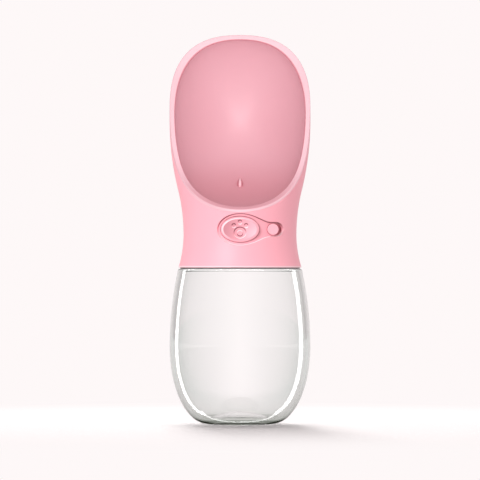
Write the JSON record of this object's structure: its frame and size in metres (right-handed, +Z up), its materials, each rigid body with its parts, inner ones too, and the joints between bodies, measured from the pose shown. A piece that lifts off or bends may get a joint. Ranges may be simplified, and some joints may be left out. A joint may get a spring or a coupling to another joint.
{
  "type": "dog travel water bottle",
  "caption": "Clear bottle with a screw-on pink head that holds a drinking bowl, a push button valve with a paw relief and a sliding lock.",
  "frame": {"origin": "centre of the bottle's foot ring, on the surface it stands on", "axes": "+Z up along the bottle, -Y towards the front, which has the bowl and the button, +X towards the lock"},
  "size_m": [0.0736, 0.0736, 0.2035],
  "materials": {
    "clear_plastic": "clear and polished",
    "pink_plastic": "smooth gloss",
    "white_plastic": "as moulded",
    "silicone": "smooth matte",
    "steel": "plain"
  },
  "bodies": {
    "bottle": {"bottle": "clear_plastic"},
    "seal_ring": {"neck_gasket": "silicone"},
    "head": {"head_shell": "pink_plastic", "bowl_liner": "pink_plastic", "threaded_collar": "white_plastic", "valve_body": "white_plastic", "inlet_seal": "silicone", "valve_screws": "steel", "valve_rear_plug": "white_plastic", "plug_seal": "silicone", "riser_tube": "silicone", "outlet_spout": "pink_plastic", "stem_front_seal": "silicone", "return_spring": "steel", "lock_keeper": "white_plastic"},
    "button": {"button": "pink_plastic", "valve_stem": "white_plastic", "valve_seat_seal": "silicone", "stem_clip": "steel"},
    "lock": {"lock_knob": "pink_plastic", "lock_tongue": "white_plastic", "lock_screw": "steel"}
  },
  "joints": [
    {"name": "head_rise", "type": "slide", "parent": "bottle", "child": "seal_ring", "axis": [0, 0, 1], "range_m": [0, 0.01]},
    {"name": "head_unscrew", "type": "hinge", "parent": "seal_ring", "child": "head", "pos_m": [0, 0, 0.087], "axis": [0, 0, 1], "range_deg": [0, 450]},
    {"name": "button_press", "type": "slide", "parent": "head", "child": "button", "axis": [0, 1, 0], "range_m": [0, 0.003], "stiffness_N_per_m": 500, "springref_m": -0.004, "deforming": ["return_spring"]},
    {"name": "lock_slide", "type": "hinge", "parent": "head", "child": "lock", "pos_m": [0, 0, 0.1013], "axis": [0, 0, 1], "range_deg": [0, 3.2]}
  ],
  "couplings": [
    {"joint": "head_rise", "follows": "head_unscrew", "m_per_rad": 0.0012732}
  ]
}
